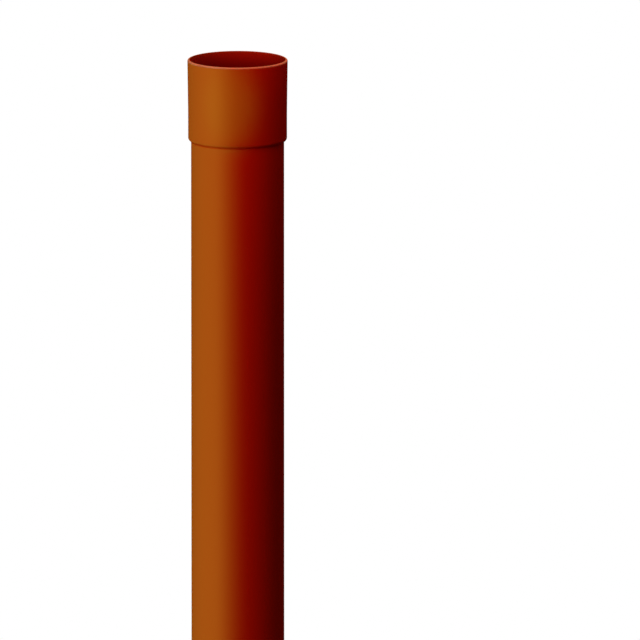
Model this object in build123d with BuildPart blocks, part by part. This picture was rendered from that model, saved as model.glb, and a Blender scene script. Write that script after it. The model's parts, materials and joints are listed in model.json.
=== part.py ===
from build123d import *
from math import atan2, tan
import os

# A round PVC rainwater downpipe: one extruded length of pipe, cut square at the lower end,
# with a socket blown out of the same wall at the upper end. The next pipe up stands in
# that socket. Sizes are in millimetres, the pipe's axis is Z, and z = 0 is the lower cut.

# Pipe
pipe_diameter = 80.0
pipe_wall = 2.0
overall_length = 1000.0

# Socket: a parallel seat for the next pipe, and above it a mouth that opens slightly
socket_clearance = 0.6  # all round, between the seat and the pipe that stands in it
socket_wall = 1.9  # the wall is thinner where it is blown out
seat_length = 23.3
mouth_length = 46.0
mouth_flare = 0.62  # growth of the radius from the seat to the rim

# Bends of the wall, each measured on the hollow side of the bend
shoulder_length = 2.2
crease_bend = 0.5
shoulder_bend = 1.2
mouth_bend = 1200.0

# Edges: the rim is rounded over, and the lower cut is only deburred
rim_outer_rounding = 1.4
rim_inner_rounding = 0.4
cut_rounding = 0.3

# No rounding takes more than its share of the wall
rim_outer_fillet = min(rim_outer_rounding, 0.75 * socket_wall)
rim_inner_fillet = min(rim_inner_rounding, 0.22 * socket_wall)
cut_fillet = min(cut_rounding, 0.3 * pipe_wall)

# Radii of the outer and inner skins
pipe_radius = pipe_diameter / 2
bore_radius = pipe_radius - pipe_wall
seat_bore_radius = pipe_radius + socket_clearance
seat_radius = seat_bore_radius + socket_wall
mouth_bore_radius = seat_bore_radius + mouth_flare
mouth_radius = seat_radius + mouth_flare

# Heights of the outer skin's corners
seat_top = overall_length - mouth_length
seat_bottom = seat_top - seat_length
shoulder_bottom = seat_bottom - shoulder_length

# The wall keeps its thickness round a bend, so the inner skin turns higher up than the outer
shoulder_slope = atan2(seat_radius - pipe_radius, shoulder_length)
inner_shoulder_bottom = shoulder_bottom + pipe_wall * tan(shoulder_slope / 2)
inner_seat_bottom = seat_bottom + socket_wall * tan(shoulder_slope / 2)

# Corners of the wall's section with their roundings: up the outer skin, over the rim, down the bore
wall_corners = [
    (pipe_radius, 0, cut_fillet),
    (pipe_radius, shoulder_bottom, crease_bend),
    (seat_radius, seat_bottom, shoulder_bend + socket_wall),
    (seat_radius, seat_top, mouth_bend),
    (mouth_radius, overall_length, rim_outer_fillet),
    (mouth_bore_radius, overall_length, rim_inner_fillet),
    (seat_bore_radius, seat_top, mouth_bend + socket_wall),
    (seat_bore_radius, inner_seat_bottom, shoulder_bend),
    (bore_radius, inner_shoulder_bottom, crease_bend + pipe_wall),
    (bore_radius, 0, cut_fillet),
]

with BuildPart() as downpipe:
    with BuildSketch(Plane.XZ) as wall_section:
        with BuildLine() as wall_outline:
            FilletPolyline(
                [(radius, height) for radius, height, rounding in wall_corners],
                radius=[rounding for radius, height, rounding in wall_corners],
                close=True,
            )
        make_face()
    revolve(axis=Axis.Z)

downpipe.part.label = "downpipe"
os.makedirs("parts", exist_ok=True)
export_step(downpipe.part, "parts/downpipe.step")
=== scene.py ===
import json
import math

import bpy
import numpy as np
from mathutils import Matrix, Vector


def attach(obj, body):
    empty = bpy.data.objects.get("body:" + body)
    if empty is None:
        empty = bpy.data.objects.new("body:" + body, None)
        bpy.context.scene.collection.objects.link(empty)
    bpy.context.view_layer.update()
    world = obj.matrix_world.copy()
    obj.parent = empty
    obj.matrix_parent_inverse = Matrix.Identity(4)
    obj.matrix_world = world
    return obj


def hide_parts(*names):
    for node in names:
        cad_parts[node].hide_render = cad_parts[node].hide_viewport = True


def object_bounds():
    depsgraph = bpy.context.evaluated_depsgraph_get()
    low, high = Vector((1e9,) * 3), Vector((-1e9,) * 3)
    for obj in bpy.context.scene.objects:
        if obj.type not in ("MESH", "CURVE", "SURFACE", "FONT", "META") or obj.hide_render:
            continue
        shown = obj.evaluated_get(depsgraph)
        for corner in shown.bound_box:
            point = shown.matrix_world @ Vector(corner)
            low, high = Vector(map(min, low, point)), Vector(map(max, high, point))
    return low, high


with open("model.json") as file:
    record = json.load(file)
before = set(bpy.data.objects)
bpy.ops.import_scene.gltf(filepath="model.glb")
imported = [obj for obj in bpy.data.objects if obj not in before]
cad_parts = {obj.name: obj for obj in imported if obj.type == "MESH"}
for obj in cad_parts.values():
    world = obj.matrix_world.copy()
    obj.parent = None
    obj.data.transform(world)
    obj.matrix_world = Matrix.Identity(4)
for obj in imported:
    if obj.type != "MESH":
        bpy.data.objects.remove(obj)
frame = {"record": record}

# A brown PVC downpipe that stands on its plain end, with its formed socket up, under soft
# studio light. Metres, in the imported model's frame: the axis is Z, and z = 0 is the lower cut.

NODE = "downpipe"
MOUNTS = {mount["name"]: mount for mount in frame["record"]["mounts"]}
CAD_LOW, CAD_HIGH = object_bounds()

# Sizes of the wall: the radii of the pipe, its bore and its seat and the length come from the frame
PIPE_RADIUS = MOUNTS["pipe_outside"]["dims"]["r_mm"] / 1000
BORE_RADIUS = MOUNTS["waterway"]["dims"]["r_mm"] / 1000
SEAT_BORE_RADIUS = MOUNTS["socket"]["dims"]["r_mm"] / 1000
PIPE_TOP = CAD_HIGH.z
PIPE_WALL = PIPE_RADIUS - BORE_RADIUS
SOCKET_WALL = 0.0019
SEAT_LENGTH = 0.0233
MOUTH_LENGTH = 0.046
MOUTH_FLARE = 0.00062
SHOULDER_LENGTH = 0.0022
CREASE_BEND = 0.0005
SHOULDER_BEND = 0.0012
MOUTH_BEND = 1.2
RIM_OUTER_ROUNDING = 0.0014
RIM_INNER_ROUNDING = 0.0004
CUT_ROUNDING = 0.0003

# Heights of the outer skin's corners
SEAT_TOP = PIPE_TOP - MOUTH_LENGTH
SEAT_BOTTOM = SEAT_TOP - SEAT_LENGTH
CREASE = SEAT_BOTTOM - SHOULDER_LENGTH

# Fineness of the surface
SECTORS = 288
ARC_STEPS = 9
RUN_STEP = 0.02
RUN_STEPS_LEAST = 6

# Colours, linear
PVC_BROWN = (0.355, 0.088, 0.006)
# Paler colour of both cut ends; along the top rim's rounded edge it is also a painted highlight
PVC_CUT_AND_RIM_HIGHLIGHT = (0.3, 0.12, 0.052)
# Painted shade: the bore is painted darker and redder than the skin, and darker still deep down
PVC_BORE_SHADE = (0.235, 0.06, 0.004)
PVC_DEEP_SHADE = (0.155, 0.012, 0.001)
# Painted shade: the crease under the socket is painted redder than the skin
PVC_CREASE_SHADE = (0.36, 0.045, 0.002)
DARKEST_SHARE = 0.8  # of the full brown
FLOOR_WHITE = (0.86, 0.86, 0.86)
WHITE = (1.0, 1.0, 1.0)
DIM_RED = (1.0, 0.1, 0.1)
DIM_STRENGTH = 0.03

# Where a tint of the PVC begins and where it is full: depths below the top for the rim, whose
# paler cut is also a painted highlight, and for the deep bore's painted shade; heights above the
# cut for the cut's paler tint, and above the crease for the crease's painted shade
RIM_CUT_AND_HIGHLIGHT_TINT = (0.0017, 0.0010)
DEEP_SHADE_TINT = (0.001, 0.014)
CUT_TINT = (0.0004, 0.0001)
CREASE_SHADE_FROM_BELOW = (-0.0010, -0.0002)
CREASE_SHADE_FROM_ABOVE = (0.0024, 0.0016)

# Patterns of the PVC, in features for each metre: across the pipe and along it, or every way
DIE_LINES = (700.0, 4.0)
BROAD_LINES = (110.0, 1.5)
DRIFT = 14.0
GRAIN = 1600.0
DIE_LINE_HEIGHT = 0.00002
GRAIN_HEIGHT = 0.000012

# Shade of the skin, from the darkest brown at 0 to the full brown at 1, and its roughness: the
# plain value of each, and what the patterns and a cut end add to it
PLAIN_SHADE = 0.94
DRIFT_SHADE = 0.06
BROAD_LINE_SHADE = 0.04
PLAIN_ROUGHNESS = 0.46
DIE_LINE_ROUGHNESS = 0.05
DRIFT_ROUGHNESS = 0.04
CUT_ROUGHNESS = 0.12

# The floor and the spotlights
FLOOR_REACH = 2.0
FLOOR_FADE_FROM = 0.7
SPOT_DISTANCE = 3.0
SPOT_SOURCE_RADIUS = 0.01

# The photograph's frame: its scale on the pipe, and where it shows the pipe's axis and rim
IMAGE_SIDE = 640
PIXELS_PER_METRE = 1161.6
AXIS_COLUMN = 237.7
RIM_ROW = 59.8
CAMERA_ELEVATION = math.radians(10.6)
CAMERA_LENS = 1400.0
SENSOR_SIDE = 36.0


class Wire:
    """An output socket. Arithmetic on it, also with numbers, adds the Math nodes that work it out."""

    def __init__(self, graph, socket):
        self.graph = graph
        self.socket = socket

    def maths(self, operation, first, second):
        """A Math node on two values, each a wire or a number."""
        return self.graph.out("ShaderNodeMath", {"operation": operation}, {0: first, 1: second})

    def __add__(self, other):
        return self.maths("ADD", self, other)

    def __radd__(self, other):
        return self.maths("ADD", other, self)

    def __sub__(self, other):
        return self.maths("SUBTRACT", self, other)

    def __rsub__(self, other):
        return self.maths("SUBTRACT", other, self)

    def __mul__(self, other):
        return self.maths("MULTIPLY", self, other)

    def __rmul__(self, other):
        return self.maths("MULTIPLY", other, self)

    def __pow__(self, other):
        return self.maths("POWER", self, other)

    def larger(self, other):
        """The larger of the two."""
        return self.maths("MAXIMUM", self, other)

    def smooth(self, low, high):
        """0 below low and 1 above high, with a soft step between them; low may be the larger."""
        limits = {"From Min": low, "From Max": high, "Value": self}
        return self.graph.out("ShaderNodeMapRange", {"interpolation_type": "SMOOTHSTEP"}, limits)


def opaque(colour):
    """A colour with full alpha, as a colour socket takes it."""
    return (*colour, 1.0)


class Graph:
    """The node tree of a material or of the world."""

    def __init__(self, owner):
        owner.use_nodes = True
        self.tree = owner.node_tree
        self.tree.nodes.clear()

    def node(self, kind, settings=None, sockets=None):
        """A node of that kind, with its settings made first and then its sockets set or linked."""
        made = self.tree.nodes.new(kind)
        for name, value in (settings or {}).items():
            setattr(made, name, value)
        for name, value in (sockets or {}).items():
            if isinstance(value, Wire):
                self.tree.links.new(value.socket, made.inputs[name])
            else:
                made.inputs[name].default_value = value
        return made

    def out(self, kind, settings=None, sockets=None, output=0):
        """The named or numbered output of a new node."""
        return Wire(self, self.node(kind, settings, sockets).outputs[output])

    def mixed(self, factor, first, second):
        """A colour between two colours, each a wire or (red, green, blue).

        The colours of a Mix node are its inputs 6 and 7 and its output 2.
        """
        first, second = (value if isinstance(value, Wire) else opaque(value) for value in (first, second))
        return self.out("ShaderNodeMix", {"data_type": "RGBA"}, {0: factor, 6: first, 7: second}, output=2)

    def place(self):
        """x, y and z of the point on the piece, in metres."""
        coordinates = self.out("ShaderNodeTexCoord", output="Object")
        parts = self.node("ShaderNodeSeparateXYZ", sockets={0: coordinates})
        return [Wire(self, parts.outputs[axis]) for axis in "XYZ"]

    def noise(self, x, y, z, scale=1.0, detail=2.0, roughness=0.5):
        """Noise between about 0 and 1; scale is in features for each unit of x, y and z."""
        point = self.out("ShaderNodeCombineXYZ", sockets={"X": x, "Y": y, "Z": z})
        values = {"Vector": point, "Scale": scale, "Detail": detail, "Roughness": roughness}
        return self.out("ShaderNodeTexNoise", {"noise_dimensions": "3D"}, values)

    def bump(self, height, distance, under=None):
        """Normals tilted by a height between 0 and 1 that stands for distance, in metres."""
        values = {"Height": height, "Distance": distance}
        if under:
            values["Normal"] = under
        return self.out("ShaderNodeBump", sockets=values)


def rounded_outline(corners):
    """A closed outline through rounded corners, as an array of (radius, height) rows.

    At a corner whose sides leave it along the unit vectors a and b, half the angle between
    them is h = acos(a.b) / 2. An arc of radius r touches the sides r / tan(h) from the corner,
    its centre lies r / sin(h) along a + b, and it turns through pi - 2h. The straight run from
    each arc to the next has its points at (1 - cos(pi s)) / 2 of the way, for even steps of s,
    so they crowd towards both ends.
    """
    corners = np.asarray(corners, float)
    points, radii = corners[:, :2], corners[:, 2:]
    back = np.roll(points, 1, 0) - points
    ahead = np.roll(points, -1, 0) - points
    back /= np.linalg.norm(back, axis=1, keepdims=True)
    ahead /= np.linalg.norm(ahead, axis=1, keepdims=True)
    half = np.arccos((back * ahead).sum(1, keepdims=True)) / 2
    middle = back + ahead
    middle /= np.linalg.norm(middle, axis=1, keepdims=True)
    centres = points + middle * radii / np.sin(half)
    starts = points + back * radii / np.tan(half) - centres
    side = np.sign(back[:, :1] * ahead[:, 1:] - back[:, 1:] * ahead[:, :1])
    turns = -side * (np.pi - 2 * half) * np.linspace(0, 1, ARC_STEPS + 1)
    arcs = np.stack([
        centres[:, :1] + starts[:, :1] * np.cos(turns) - starts[:, 1:] * np.sin(turns),
        centres[:, 1:] + starts[:, :1] * np.sin(turns) + starts[:, 1:] * np.cos(turns),
    ], axis=2)
    outline = []
    for arc, following in zip(arcs, np.roll(arcs, -1, 0)):
        run = following[0] - arc[-1]
        steps = max(RUN_STEPS_LEAST, math.ceil(np.linalg.norm(run) / RUN_STEP))
        share = (1 - np.cos(np.pi * np.arange(1, steps) / steps)) / 2
        outline += [arc, arc[-1] + share[:, None] * run]
    return np.concatenate(outline)


def wall_section():
    """The pipe's wall in section: up the outer skin from the cut, over the rim and down the bore.

    Where the wall leans outwards by the angle lean, its inner skin turns wall * tan(lean / 2)
    higher up than its outer skin, which keeps the wall's thickness.
    """
    seat_radius = SEAT_BORE_RADIUS + SOCKET_WALL
    lean = math.atan2(seat_radius - PIPE_RADIUS, SHOULDER_LENGTH)
    return rounded_outline([
        (PIPE_RADIUS, 0, CUT_ROUNDING),
        (PIPE_RADIUS, CREASE, CREASE_BEND),
        (seat_radius, SEAT_BOTTOM, SHOULDER_BEND + SOCKET_WALL),
        (seat_radius, SEAT_TOP, MOUTH_BEND),
        (seat_radius + MOUTH_FLARE, PIPE_TOP, RIM_OUTER_ROUNDING),
        (SEAT_BORE_RADIUS + MOUTH_FLARE, PIPE_TOP, RIM_INNER_ROUNDING),
        (SEAT_BORE_RADIUS, SEAT_TOP, MOUTH_BEND + SOCKET_WALL),
        (SEAT_BORE_RADIUS, SEAT_BOTTOM + SOCKET_WALL * math.tan(lean / 2), SHOULDER_BEND),
        (BORE_RADIUS, CREASE + PIPE_WALL * math.tan(lean / 2), CREASE_BEND + PIPE_WALL),
        (BORE_RADIUS, 0, CUT_ROUNDING),
    ])


def mesh_object(name, points, faces, smooth=True):
    """An object of that name at the origin, with its points and faces as given."""
    mesh = bpy.data.meshes.new(name)
    mesh.from_pydata(points.tolist(), [], faces.tolist())
    mesh.polygons.foreach_set("use_smooth", [smooth] * len(mesh.polygons))
    mesh.update()
    made = bpy.data.objects.new(name, mesh)
    bpy.context.scene.collection.objects.link(made)
    return made


def turned_surface(name, outline):
    """A closed outline turned about Z.

    Point (u, v) is (r(u) cos v, r(u) sin v, z(u)), for v from 0 to 2 pi. The outline runs with
    the material on its left, so faces in the order u, v point outwards. The attribute "bore" is
    1 where the outline runs downwards, and 0 elsewhere.
    """
    rings = len(outline)
    turn = 2 * np.pi * np.arange(SECTORS) / SECTORS
    radius, height = outline[:, :1], outline[:, 1:]
    points = np.stack([
        radius * np.cos(turn),
        radius * np.sin(turn),
        height + 0 * turn,
    ], axis=2).reshape(-1, 3)
    u, v = np.meshgrid(np.arange(rings), np.arange(SECTORS), indexing="ij")
    next_u, next_v = (u + 1) % rings, (v + 1) % SECTORS
    faces = np.stack([
        u * SECTORS + v,
        u * SECTORS + next_v,
        next_u * SECTORS + next_v,
        next_u * SECTORS + v,
    ], axis=2).reshape(-1, 4)
    made = mesh_object(name, points, faces)
    downward = np.roll(height, -1, 0) < height
    bore = made.data.attributes.new("bore", "FLOAT", "POINT")
    bore.data.foreach_set("value", np.repeat(downward, SECTORS).astype(np.float32))
    return made


def pvc_finish():
    """Brown PVC, extruded and then cut, with no gloss.

    Faint die lines run along the pipe and the colour drifts a little. The crease under the
    socket is painted redder than the skin, as painted shade, and the inside is painted darker
    and redder the deeper it lies, as painted shade. Both cut ends are paler and rougher; along
    the top rim's rounded edge the paler colour is also a painted highlight.
    """
    material = bpy.data.materials.new("brown_pvc")
    graph = Graph(material)
    x, y, z = graph.place()
    bore = graph.out("ShaderNodeAttribute", {"attribute_name": "bore"}, output="Fac")

    across, along = DIE_LINES
    die_lines = graph.noise(x * across, y * across, z * along, detail=3.0, roughness=0.6)
    across, along = BROAD_LINES
    broad_lines = graph.noise(x * across, y * across, z * along)
    drift = graph.noise(x, y, z, scale=DRIFT)
    grain = graph.noise(x, y, z, scale=GRAIN, roughness=0.6)

    depth = PIPE_TOP - z
    above_crease = z - CREASE
    # Mask of the paler cut ends; on the top rim it also carries a painted highlight
    cut_ends_and_rim_highlight = depth.smooth(*RIM_CUT_AND_HIGHLIGHT_TINT) * (1.0 - bore) + z.smooth(*CUT_TINT)
    # Mask of the painted shade in the crease under the socket
    crease = above_crease.smooth(*CREASE_SHADE_FROM_BELOW) * above_crease.smooth(*CREASE_SHADE_FROM_ABOVE)

    darkest = tuple(channel * DARKEST_SHARE for channel in PVC_BROWN)
    shade = PLAIN_SHADE + DRIFT_SHADE * drift + BROAD_LINE_SHADE * broad_lines
    skin = graph.mixed(shade, darkest, PVC_BROWN)
    # The skin with the crease's painted shade
    outside = graph.mixed(crease, skin, PVC_CREASE_SHADE)
    # Painted shade inside: the bore darker and redder, darker still the deeper it lies
    inside = graph.mixed(depth.smooth(*DEEP_SHADE_TINT), PVC_BORE_SHADE, PVC_DEEP_SHADE)
    uncut = graph.mixed(bore, outside, inside)
    roughness = PLAIN_ROUGHNESS + DIE_LINE_ROUGHNESS * die_lines + DRIFT_ROUGHNESS * drift
    lined = graph.bump(die_lines, DIE_LINE_HEIGHT)
    shader = graph.out("ShaderNodeBsdfPrincipled", sockets={
        "Base Color": graph.mixed(cut_ends_and_rim_highlight, uncut, PVC_CUT_AND_RIM_HIGHLIGHT),
        "Roughness": roughness + CUT_ROUGHNESS * cut_ends_and_rim_highlight,
        "Normal": graph.bump(grain, GRAIN_HEIGHT, under=lined),
        "Specular IOR Level": 0.0,
    })
    graph.node("ShaderNodeOutputMaterial", sockets={"Surface": shader})
    return material


def make_pipe():
    """The whole downpipe: its wall's section turned about the axis."""
    pipe = turned_surface("downpipe_wall", wall_section())
    pipe.data.materials.append(pvc_finish())
    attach(pipe, "root")
    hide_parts(NODE)
    return pipe


def make_floor():
    """A pale floor under the pipe, which throws no light back on it.

    To the camera it fades to the background's white with the distance from the axis.
    """
    corners = np.array([(-1, -1, 0), (1, -1, 0), (1, 1, 0), (-1, 1, 0)])
    floor = mesh_object("floor", FLOOR_REACH * corners, np.array([(0, 1, 2, 3)]), smooth=False)
    material = bpy.data.materials.new("pale_floor")
    graph = Graph(material)
    x, y, z = graph.place()
    away = (x * x + y * y) ** 0.5
    seen = graph.out("ShaderNodeLightPath", output="Is Camera Ray")
    fade = away.smooth(FLOOR_FADE_FROM, FLOOR_REACH) * seen
    lit = graph.out("ShaderNodeBsdfDiffuse", sockets={"Color": opaque(FLOOR_WHITE)})
    white = graph.out("ShaderNodeEmission", sockets={"Color": opaque(WHITE), "Strength": 1.0})
    shader = graph.out("ShaderNodeMixShader", sockets={0: fade, 1: lit, 2: white})
    graph.node("ShaderNodeOutputMaterial", sockets={"Surface": shader})
    floor.data.materials.append(material)
    floor.visible_diffuse = False


def hung_lamp(name, kind, azimuth, elevation, distance, height, power, colour, only):
    """A lamp that hangs at a distance from the point of the axis at a height, and faces it.

    Azimuth 0 is the camera's side and 90 is +X. It lights every surface, or only the pieces of
    a collection.
    """
    a, e = math.radians(azimuth), math.radians(elevation)
    away = Vector((math.cos(e) * math.sin(a), -math.cos(e) * math.cos(a), math.sin(e)))
    lamp = bpy.data.lights.new(name, kind)
    lamp.energy = power
    lamp.color = colour
    made = bpy.data.objects.new(name, lamp)
    made.location = Vector((0, 0, height)) + distance * away
    made.rotation_mode = "QUATERNION"
    made.rotation_quaternion = (-away).to_track_quat("-Z", "Y")
    made.visible_camera = False
    made.light_linking.receiver_collection = only
    bpy.context.scene.collection.objects.link(made)
    return made


def softbox(name, azimuth, elevation, distance, height, size, power, colour=WHITE, only=None):
    """A rectangular area lamp, size (width, height)."""
    made = hung_lamp(name, "AREA", azimuth, elevation, distance, height, power, colour, only)
    made.data.shape = "RECTANGLE"
    made.data.size, made.data.size_y = size
    return made


def shuttered_spot(name, azimuth, height, aside, half_size, blend, power, colour=WHITE, only=None):
    """A spotlight with a level beam, narrowed to an upright oval.

    The oval's half size at the axis is (width, height). Aside shifts the beam sideways, to the
    lamp's right.
    """
    half_width, half_height = half_size
    made = hung_lamp(name, "SPOT", azimuth, 0, SPOT_DISTANCE, height, power, colour, only)
    made.data.spot_size = 2 * math.atan(half_height / SPOT_DISTANCE)
    made.data.spot_blend = blend
    made.data.shadow_soft_size = SPOT_SOURCE_RADIUS
    made.location += made.rotation_quaternion @ Vector((aside, 0, 0))
    made.scale = (half_width / half_height, 1, 1)
    return made


def make_lights(pipe):
    """Key light from the front left that ends at the pipe's middle, and red fill for its shade.

    Small lamps lift the front of the socket and its inside. The light from behind is white, and
    hardly reaches what the camera sees. Of the lamps, only those overhead and at the back light
    the floor.
    """
    pipe_only = bpy.data.collections.new("pipe_only")
    pipe_only.objects.link(pipe)
    shuttered_spot("key", azimuth=-49, height=0.5, aside=-0.012, half_size=(0.042, 2.5), blend=0.3,
                   power=325, colour=(0.39, 0.98, 1.0), only=pipe_only)
    shuttered_spot("socket_key", azimuth=-11, height=0.968, aside=0.0, half_size=(0.030, 0.052), blend=1.0,
                   power=145, colour=(0.14, 1.0, 0.65), only=pipe_only)
    shuttered_spot("rear_key", azimuth=150, height=0.5, aside=0.010, half_size=(0.044, 2.5), blend=0.3,
                   power=170, only=pipe_only)
    softbox("fill", azimuth=-36, elevation=14, distance=6.0, height=0.5, size=(3.1, 2.4),
            power=258, colour=(1.0, 0.03, 0.0), only=pipe_only)
    softbox("glow", azimuth=24, elevation=50, distance=0.25, height=1.0, size=(0.15, 0.15),
            power=0.285, colour=(1.0, 0.02, 0.0), only=pipe_only)
    softbox("inside", azimuth=60, elevation=72, distance=0.14, height=1.0, size=(0.04, 0.04),
            power=0.09, colour=(1.0, 0.02, 0.0), only=pipe_only)
    softbox("side", azimuth=118, elevation=5, distance=4.0, height=0.5, size=(0.6, 2.0),
            power=28, colour=(1.0, 0.04, 0.08), only=pipe_only)
    softbox("overhead", azimuth=0, elevation=90, distance=8.0, height=1.0, size=(0.3, 0.3), power=632)
    softbox("back", azimuth=-172, elevation=12, distance=3.0, height=0.72, size=(0.6, 2.0), power=50)


def make_world():
    """White to the camera, in reflections and through glass; a dim red light on everything else."""
    world = bpy.data.worlds.new("studio")
    bpy.context.scene.world = world
    graph = Graph(world)
    rays = graph.node("ShaderNodeLightPath")
    names = ("Is Camera Ray", "Is Glossy Ray", "Is Transmission Ray")
    camera, glossy, through = (Wire(graph, rays.outputs[name]) for name in names)
    shown = camera.larger(glossy).larger(through)
    dim = graph.out("ShaderNodeBackground", sockets={"Color": opaque(DIM_RED), "Strength": DIM_STRENGTH})
    white = graph.out("ShaderNodeBackground", sockets={"Color": opaque(WHITE), "Strength": 1.0})
    surface = graph.out("ShaderNodeMixShader", sockets={0: shown, 1: dim, 2: white})
    graph.node("ShaderNodeOutputWorld", sockets={"Surface": surface})


def make_camera():
    """A very long lens, so that the pipe's sides stay parallel as they do in the photograph.

    The photograph's frame is IMAGE_SIDE / PIXELS_PER_METRE wide at the pipe. Its centre lies
    to the right of the axis and below the rim by the pixels between them; a height shows
    shortened by the cosine of the camera's elevation.
    """
    side = IMAGE_SIDE / PIXELS_PER_METRE
    centre = IMAGE_SIDE / 2
    aim = Vector((
        (centre - AXIS_COLUMN) / PIXELS_PER_METRE,
        0,
        PIPE_TOP - (centre - RIM_ROW) / PIXELS_PER_METRE / math.cos(CAMERA_ELEVATION),
    ))
    distance = side * CAMERA_LENS / SENSOR_SIDE
    camera = bpy.data.cameras.new("camera")
    camera.lens = CAMERA_LENS
    camera.sensor_width = SENSOR_SIDE
    camera.clip_end = 2 * distance
    made = bpy.data.objects.new("camera", camera)
    back = Vector((0, -math.cos(CAMERA_ELEVATION), math.sin(CAMERA_ELEVATION)))
    made.location = aim + distance * back
    made.rotation_mode = "QUATERNION"
    made.rotation_quaternion = (-back).to_track_quat("-Z", "Y")
    bpy.context.scene.collection.objects.link(made)
    bpy.context.scene.camera = made


pipe = make_pipe()
make_floor()
make_lights(pipe)
make_world()
make_camera()
bpy.context.scene.view_settings.view_transform = "Standard"
